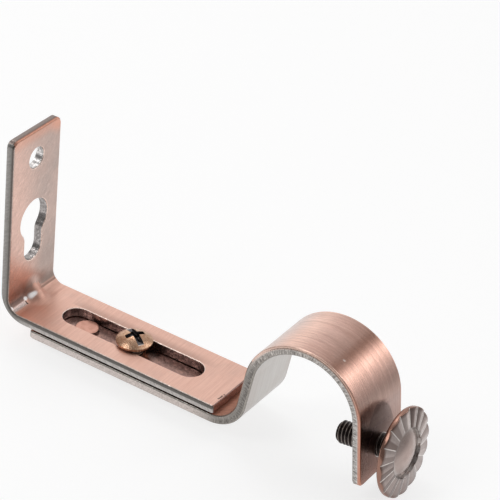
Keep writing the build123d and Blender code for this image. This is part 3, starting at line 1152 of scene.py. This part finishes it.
lifted = calc("SUBTRACT", 2.0, times(from_crest, 6.0), clamp=True)
turned_by = times(along_wire, turns)
angle = times(turned_by, 2 * pi)
climb = minus(plus(turned_by, ridge_points.outputs[0]), 1.0)
level = times(climb, given["Pitch"])
level = calc("MAXIMUM", calc("MINIMUM", level, given["Length"]), 0.0)
root = minus(given["Crest radius"], given["Depth"])
radius = plus(root, times(lifted, given["Depth"]))
cap_step = 0.00005
end_radius = minus(root, cap_step)
from_end = calc("MINIMUM", level, minus(given["Length"], level))
radius = calc("MINIMUM", radius, plus(end_radius, from_end))
wound_x = times(radius, calc("COSINE", angle))
wound_y = times(radius, calc("SINE", angle))
wound = xyz(wound_x, wound_y, level)
helix = node(thread, "GeometryNodeSetPosition", {"Geometry": grid.outputs["Mesh"], "Position": wound})
cap_size = {"Vertices": given["Sides"], "Radius": end_radius}
cap = node(thread, "GeometryNodeMeshCircle", cap_size, fill_type="NGON").outputs[0]
to_top = xyz(z=given["Length"])
top = node(thread, "GeometryNodeTransform", {"Geometry": cap, "Translation": to_top})
bottom = node(thread, "GeometryNodeFlipFaces", {"Mesh": cap})
joined = node(thread, "GeometryNodeJoinGeometry")
for made in (helix, top, bottom):
    link(made.outputs[0], joined.inputs[0])
merged = node(thread, "GeometryNodeMergeByDistance", {"Geometry": joined.outputs[0], "Distance": 0.000004})
real = node(thread, "GeometryNodeRealizeInstances", {"Geometry": merged.outputs[0]})
coated = node(thread, "GeometryNodeSetMaterial", {"Geometry": real.outputs[0], "Material": given["Finish"]})
link(coated.outputs[0], result["Geometry"])
print("thread tree has", len(thread.nodes), "nodes")


def finish_round(piece, smooth_degrees):
    """Makes normals point outwards, sets smooth shading, and stores the piece's own coordinates in mm."""
    work = bmesh.new()
    work.from_mesh(piece.data)
    bmesh.ops.dissolve_degenerate(work, edges=work.edges, dist=1e-7)
    bmesh.ops.recalc_face_normals(work, faces=work.faces)
    for edge in work.edges:
        edge.smooth = len(edge.link_faces) == 2 and edge.calc_face_angle(0) < radians(smooth_degrees)
    for face in work.faces:
        face.smooth = True
    open_edges = sum(len(edge.link_faces) != 2 for edge in work.edges)
    work.to_mesh(piece.data)
    work.free()
    store_own(piece.data, points_mm(piece.data))
    print(piece.name, "has", len(piece.data.polygons), "faces and", open_edges, "open edges")


# %% [markdown]
# ## The thumb screw's stud
#
# The stud is an M6 thread, blackened, with its crests rubbed bright. The finish reads the distance
# from the axis: near the crest radius the grey of worn steel shows, and in the roots it is black.

# %% Finish: blackened thread
def threaded_finish(name, crest, root, wear_and_glint, black):
    material, own, parts, shader = begin(name)
    radius = away_from(parts, (0.0, 0.0))
    crests = fade(radius, root + 0.8 * (crest - root), crest)
    patches = cloudy(own, 1.6, 0.35, 0.6)
    share = times(crests, scaled(patches, 0.5, 0.4))
    colour = blend_colour(share, black, wear_and_glint)
    pits = gritty(own, 0.3)
    rough = scaled(pits["Pits"], 0.15, 0.3)
    finish(shader, colour, rough, pits["Height"], 0.015)
    return material


stud_crest, stud_root = 3.0, 2.4
clamp_crest, clamp_root = 2.5, 2.0
black_thread = threaded_finish("black_thread", stud_crest, stud_root, (150, 140, 134), (46, 40, 38))
bronze_thread = threaded_finish("bronze_thread", clamp_crest, clamp_root, (206, 180, 162), (84, 66, 58))
print("made", black_thread.name, "and", bronze_thread.name)


# %% Wind a thread
def wind_thread(name, length, crest, root, pitch, sides, coat):
    """A closed thread that stands on Z from 0 up to its length. All sizes are in mm."""
    values = {
        "Length": length / 1000,
        "Crest radius": crest / 1000,
        "Pitch": pitch / 1000,
        "Depth": (crest - root) / 1000,
        "Sides": sides,
        "Finish": coat,
    }
    piece = grow(name, bpy.data.meshes.new(name), thread, values)
    finish_round(piece, 70)
    return piece


print("threads can be wound")

# %% Stud
thumb_tilt = radians(7)
thumb_axis = Vector((cos(thumb_tilt), 0, sin(thumb_tilt)))
head_place = Vector((0.11626445, 0, -0.03852509))
stud_length, stud_seat = 17.0, 1.5
sideways = Vector((0, 1, 0))
thumb_turn = Matrix((sideways, thumb_axis.cross(sideways), thumb_axis)).transposed()


def along_thumb_axis(distance):
    """Stands a piece that was made along Z on the thumb screw's axis."""
    return Matrix.Translation(head_place + thumb_axis * distance) @ thumb_turn.to_4x4()


stud = wind_thread("thumb_stud", stud_length + stud_seat, stud_crest, stud_root, 1.0, 40, black_thread)
stud.data.transform(along_thumb_axis(-stud_length / 1000))
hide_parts("thumb_screw_stud")
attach(stud, "thumb_stud")

# %% [markdown]
# ## The thumb screw's head
#
# The head is a cast disc with sixteen petals round a sunk floor, from which a dome rises almost to the
# petals' height. Each petal is bowed across its width and slopes down to the rim, so neighbours meet in
# a valley. One slice of the disc is enough to say all of that: it is built from the rule for the
# petal's height, and Geometry Nodes put sixteen copies of it round the axis and merge them into one
# closed mesh.

# %% One slice of the head
petals = 16
head_radius = 11.75
dome_radius, moat_radius = 6.1, 6.6
rim_thickness, face_rise, petal_bow = 1.7, 0.6, 0.5
moat_depth = 0.9
moat_floor = rim_thickness + face_rise - moat_depth
dome_crown = 1.4
rim_round = 0.7
bore_radius, bore_depth = 3.05, 1.55
petal_half_width = head_radius * sin(pi / petals)
bow_radius = (petal_half_width**2 + petal_bow**2) / (2 * petal_bow)
slope = np.arctan2(face_rise, head_radius - moat_radius)
petal_top = rim_thickness + head_radius * tan(slope)
crown_radius = (dome_radius**2 + dome_crown**2) / (2 * dome_crown)


def petal_height(radius, angle):
    x, y = radius * cos(angle), radius * sin(angle)
    return petal_top - x * tan(slope) + (sqrt(bow_radius**2 - y**2) - bow_radius) / cos(slope)


def dome_level(radius):
    return moat_floor + dome_crown - crown_radius + sqrt(crown_radius**2 - radius**2)


def slice_profile(angle):
    """Points (radius, height) from the dome's middle over the rim to the bore's middle."""
    rows = [(r, dome_level(r)) for r in (0.0, 1.3, 2.6, 3.8, 4.9, 5.7, dome_radius)]
    rows += [(6.5, moat_floor), (6.58, moat_floor + 0.1)]
    rows += [(moat_radius, petal_height(moat_radius, angle) - 0.12), (6.68, petal_height(6.68, angle) - 0.02)]
    rows += [(r, petal_height(r, angle)) for r in (6.8, 7.2, 8.0, 8.9, 9.8, 10.6, 11.2)]
    edge = petal_height(head_radius, angle)
    rows += [(11.6, petal_height(11.6, angle) - 0.03), (11.72, edge - 0.12), (head_radius, edge - 0.26)]
    for a in (radians(degrees) for degrees in (0, 22.5, 45, 67.5, 90)):
        rows.append((head_radius - rim_round * (1 - cos(a)), rim_round - rim_round * sin(a)))
    return rows + [(8.0, 0.0), (bore_radius, 0.0), (bore_radius, bore_depth), (0.0, bore_depth)]


slice_mesh = bpy.data.meshes.new("petal_slice")
steps = 12
work = bmesh.new()
columns = []
for step in range(steps + 1):
    angle = (step / steps - 0.5) * 2 * pi / petals
    places = [(r * cos(angle) / 1000, r * sin(angle) / 1000, h / 1000) for r, h in slice_profile(angle)]
    columns.append([work.verts.new(place) for place in places])
for left, right in zip(columns, columns[1:]):
    for row in range(len(left) - 1):
        work.faces.new((left[row], left[row + 1], right[row + 1], right[row]))
bmesh.ops.remove_doubles(work, verts=work.verts, dist=1e-7)
work.to_mesh(slice_mesh)
work.free()
print("one slice has", len(slice_mesh.polygons), "faces")

# %% Sixteen slices
petal_ring, given, result = geometry_group(
    "petal_ring",
    [
        ("Geometry", "Geometry", None),
        ("Petals", "Int", petals),
        ("Merge distance", "Float", 0.000002),
        ("Finish", "Material", None),
    ],
)
spots = node(petal_ring, "GeometryNodePoints", {"Count": given["Petals"]})
index = node(petal_ring, "GeometryNodeInputIndex")
step_angle = calc("DIVIDE", 2 * pi, given["Petals"])
turn = xyz(z=times(index.outputs[0], step_angle))
placing = {"Points": spots.outputs[0], "Instance": given["Geometry"], "Rotation": turn}
copies = node(petal_ring, "GeometryNodeInstanceOnPoints", placing)
real = node(petal_ring, "GeometryNodeRealizeInstances", {"Geometry": copies.outputs[0]})
merging = {"Geometry": real.outputs[0], "Distance": given["Merge distance"]}
whole = node(petal_ring, "GeometryNodeMergeByDistance", merging)
coating = {"Geometry": whole.outputs[0], "Material": given["Finish"]}
coated = node(petal_ring, "GeometryNodeSetMaterial", coating)
link(coated.outputs[0], result["Geometry"])
print("ring tree has", len(petal_ring.nodes), "nodes")

# %% [markdown]
# The head's finish follows the turned form. The dome is a mauve grey-brown. Each petal has a tone of
# its own, is painted darker on one half as the shade of its bow, and carries fine lines that run out
# from the middle. Each valley has a thin light line. The moat round the dome is light, with dark specks,
# the rim is copper, and the whole head is darker towards its lower side.

# %% Finish: head
knob, own, parts, shader = begin("antique_knob")
radius = away_from(parts, (0.0, 0.0))
around = calc("ARCTAN2", parts["Y"], parts["X"])
petal_count = scaled(around, petals / (2 * pi), 0.5)
petal_share = calc("FRACT", petal_count)
petal_number = calc("FLOOR", petal_count)
from_valley = minus(0.5, calc("ABSOLUTE", minus(petal_share, 0.5)))
valley_mm = times(from_valley, radius, 2 * pi / petals)
scuffs = cloudy(own, 1.2, 0.3, 0.6)
valley = fade_out(valley_mm, 0.04, 0.2)
valley = times(valley, scaled(scuffs, 0.6, 0.4))
on_petals = times(fade(radius, 6.5, 6.8), fade(parts["Z"], 0.95, 1.25))
patches = cloudy(own, 4.0, 0.35, 0.65)
petal_tone = linked("ShaderNodeTexWhiteNoise", {"W": petal_number}, noise_dimensions="1D").outputs["Value"]
rays = noise(xyz(times(radius, 0.25), times(around, 22.0)), 1.0, 3.0)
colour = ramp(
    radius,
    [
        (0.0, (192, 170, 162)), (5.2, (184, 168, 162)), (6.0, (196, 188, 184)), (6.15, (196, 188, 183)),
        (6.5, (206, 200, 196)), (6.56, (220, 214, 210)), (6.7, (222, 216, 212)), (6.95, (218, 206, 201)),
        (10.6, (220, 206, 201)), (11.4, (168, 146, 138)), (11.75, (186, 136, 116)),
    ],
    "LINEAR",
)
# Painted shade: one half of each petal is darker, as the shade of its bow.
shaded_side = times(fade(petal_share, 0.45, 0.55), 0.42)
tone = times(plus(times(petal_tone, 0.55), shaded_side), on_petals)
far_petals = fade(parts["X"], 3.0, 8.0)
tone = times(tone, inverse(times(far_petals, 0.35)))
colour = blend_colour(tone, colour, (112, 97, 92))
colour = tint(colour, times(rays, on_petals), 0.3, (96, 82, 78))
colour = tint(colour, patches, 0.3, (126, 104, 96))
colour = tint(colour, times(valley, on_petals), 0.9, (244, 236, 230))
low_side = fade_out(parts["Y"], -10.5, -1.0)
colour = tint(colour, low_side, 0.5, (120, 104, 100))
speckle = times(band(radius, 6.05, 6.2, 6.9, 7.2), scuffs)
colour = tint(colour, speckle, 0.4, (92, 80, 76))
rim = calc("MAXIMUM", fade(radius, 11.66, 11.73), fade_out(parts["Z"], 0.8, 1.0))
colour = blend_colour(rim, colour, (156, 119, 105))
back = fade_out(parts["Z"], 0.0, 0.35)
colour = blend_colour(back, colour, (112, 92, 86))
rough = scaled(rays, 0.16, 0.15)
finish(shader, colour, rough, rays, 0.02)

# %% Thumb screw head
head = grow("thumb_head", slice_mesh, petal_ring, {"Petals": petals, "Finish": knob})
finish_round(head, 40)
head.data.transform(along_thumb_axis(0.0))
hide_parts("thumb_screw_head")
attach(head, "thumb_head")

# %% [markdown]
# ## The clamp screw
#
# Its head is golden bronze, rubbed bright on the dome and dark in the cross recess, and round the
# recess a thin light line is painted as a highlight on the recess's rim. The head is cut from the copy of
# the solid, at the level of its seat, and the thread below it is the same node tree as the stud's, with
# the pitch of an M5 screw.

# %% Finishes: clamp screw
bronze, own, parts, shader = begin("bronze_head")
patches = cloudy(own, 0.6, 0.38, 0.64)
pits = gritty(own, 0.3)
colour = tint((224, 184, 154), patches, 0.6, (182, 128, 96))
colour = tint(colour, pits["Pits"], 0.3, (112, 78, 64))
finish(shader, colour, scaled(patches, 0.1, 0.24), pits["Height"], 0.03)
print("made", bronze.name)

# %% Finish: the cross recess
head_rim, head_height = 0.5, 2.4
clamp_radius = 4.9
clamp_dome = (clamp_radius**2 + (head_height - head_rim) ** 2) / (2 * (head_height - head_rim))
recess_dark, own, parts, shader = begin("recess_dark")
pits = gritty(own, 0.6)
colour = tint((112, 108, 110), pits["Pits"], 0.6, (56, 53, 56))
ball_middle = {0: own, 1: (0.0, 0.0, head_height - clamp_dome)}
from_centre = linked("ShaderNodeVectorMath", ball_middle, operation="DISTANCE").outputs["Value"]
# A painted highlight: a thin light line round the recess's rim.
recess_rim_highlight = fade(from_centre, clamp_dome - 0.2, clamp_dome - 0.08)
colour = blend_colour(recess_rim_highlight, colour, (220, 206, 198))
finish(shader, colour, 0.28, pits["Height"], 0.03)

# %% Clamp screw head
seat_above_arm = 0.5
clamp_seat = arm_top + seat_above_arm
clamp_head, _ = copy_solid("clamp_screw", "clamp_head")
work = bmesh.new()
work.from_mesh(clamp_head.data)
shank = [face for face in work.faces if face.calc_center_median().z * 1000 < clamp_seat - 0.02]
bmesh.ops.delete(work, geom=shank, context="FACES")
work.to_mesh(clamp_head.data)
work.free()
middle_mm = np.array((clamp_place, 0.0, clamp_seat))
store_own(clamp_head.data, points_mm(clamp_head.data) - middle_mm)


recess_reach = 4.6


def clamp_finish(middle, normal, own):
    radius = sqrt(own[0] ** 2 + own[1] ** 2)
    cut_down = normal.z < 0.6 and radius < recess_reach or normal.z > 0.999
    return "recess" if cut_down and own[2] > 0.05 else "dome"


dress(clamp_head, clamp_finish, {"dome": bronze, "recess": recess_dark})

# %% [markdown]
# The dome's triangles are long and thin, and shading that is averaged over them shows rays. The true
# normal of a ball is known at every point, though: it leads straight away from the ball's centre. So
# the dome gets those normals, and all other faces of the head keep their own flat ones.

# %% Normals of the dome
ball_centre = (middle_mm + np.array((0.0, 0.0, head_height - clamp_dome))) / 1000
normals = []
for face in clamp_head.data.polygons:
    for loop in face.loop_indices:
        corner = clamp_head.data.vertices[clamp_head.data.loops[loop].vertex_index].co
        if face.material_index == 0 and face.normal.z > 0.65:
            normals.append((corner - Vector(ball_centre)).normalized())
        elif face.material_index == 0 and abs(face.normal.z) < 0.2:
            normals.append(Vector((corner.x - ball_centre[0], corner.y, 0)).normalized())
        else:
            normals.append(face.normal.copy())
clamp_head.data.normals_split_custom_set(normals)
print("dome normals set on", len(normals), "corners")
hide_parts("clamp_screw")
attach(clamp_head, "clamp_screw")

# %% Clamp screw thread
clamp_length = 8.0
into_head = 0.3
thread_length = clamp_length + into_head
clamp_thread = wind_thread("clamp_thread", thread_length, clamp_crest, clamp_root, 0.8, 36, bronze_thread)
clamp_end = (clamp_place / 1000, 0, (clamp_seat - clamp_length) / 1000)
clamp_thread.data.transform(Matrix.Translation(clamp_end))
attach(clamp_thread, "clamp_screw")
